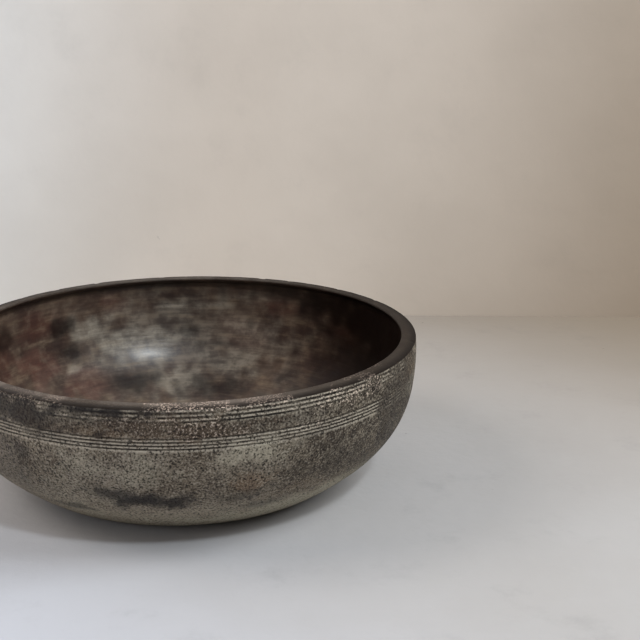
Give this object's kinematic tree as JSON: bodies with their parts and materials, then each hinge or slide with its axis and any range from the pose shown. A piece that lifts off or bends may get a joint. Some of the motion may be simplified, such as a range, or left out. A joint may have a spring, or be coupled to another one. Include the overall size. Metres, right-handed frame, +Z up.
{
  "type": "shallow metal bowl",
  "caption": "Wide, shallow round metal bowl with a thick flat lip, bands of turned lines round the outside and a flat foot; its open hollow holds loose things such as game stones.",
  "frame": {"origin": "centre of the foot's underside, on the surface that the bowl stands on", "axes": "+Z up along the bowl's axis of revolution; X and Y are free, as the bowl is round"},
  "size_m": [0.23, 0.23, 0.072],
  "materials": {
    "bronze": "aged bronze: dull, pitted grey-brown patina outside, smoother mottled half-gloss patina inside"
  },
  "bodies": {
    "root": {"bowl": "bronze"}
  },
  "joints": []
}
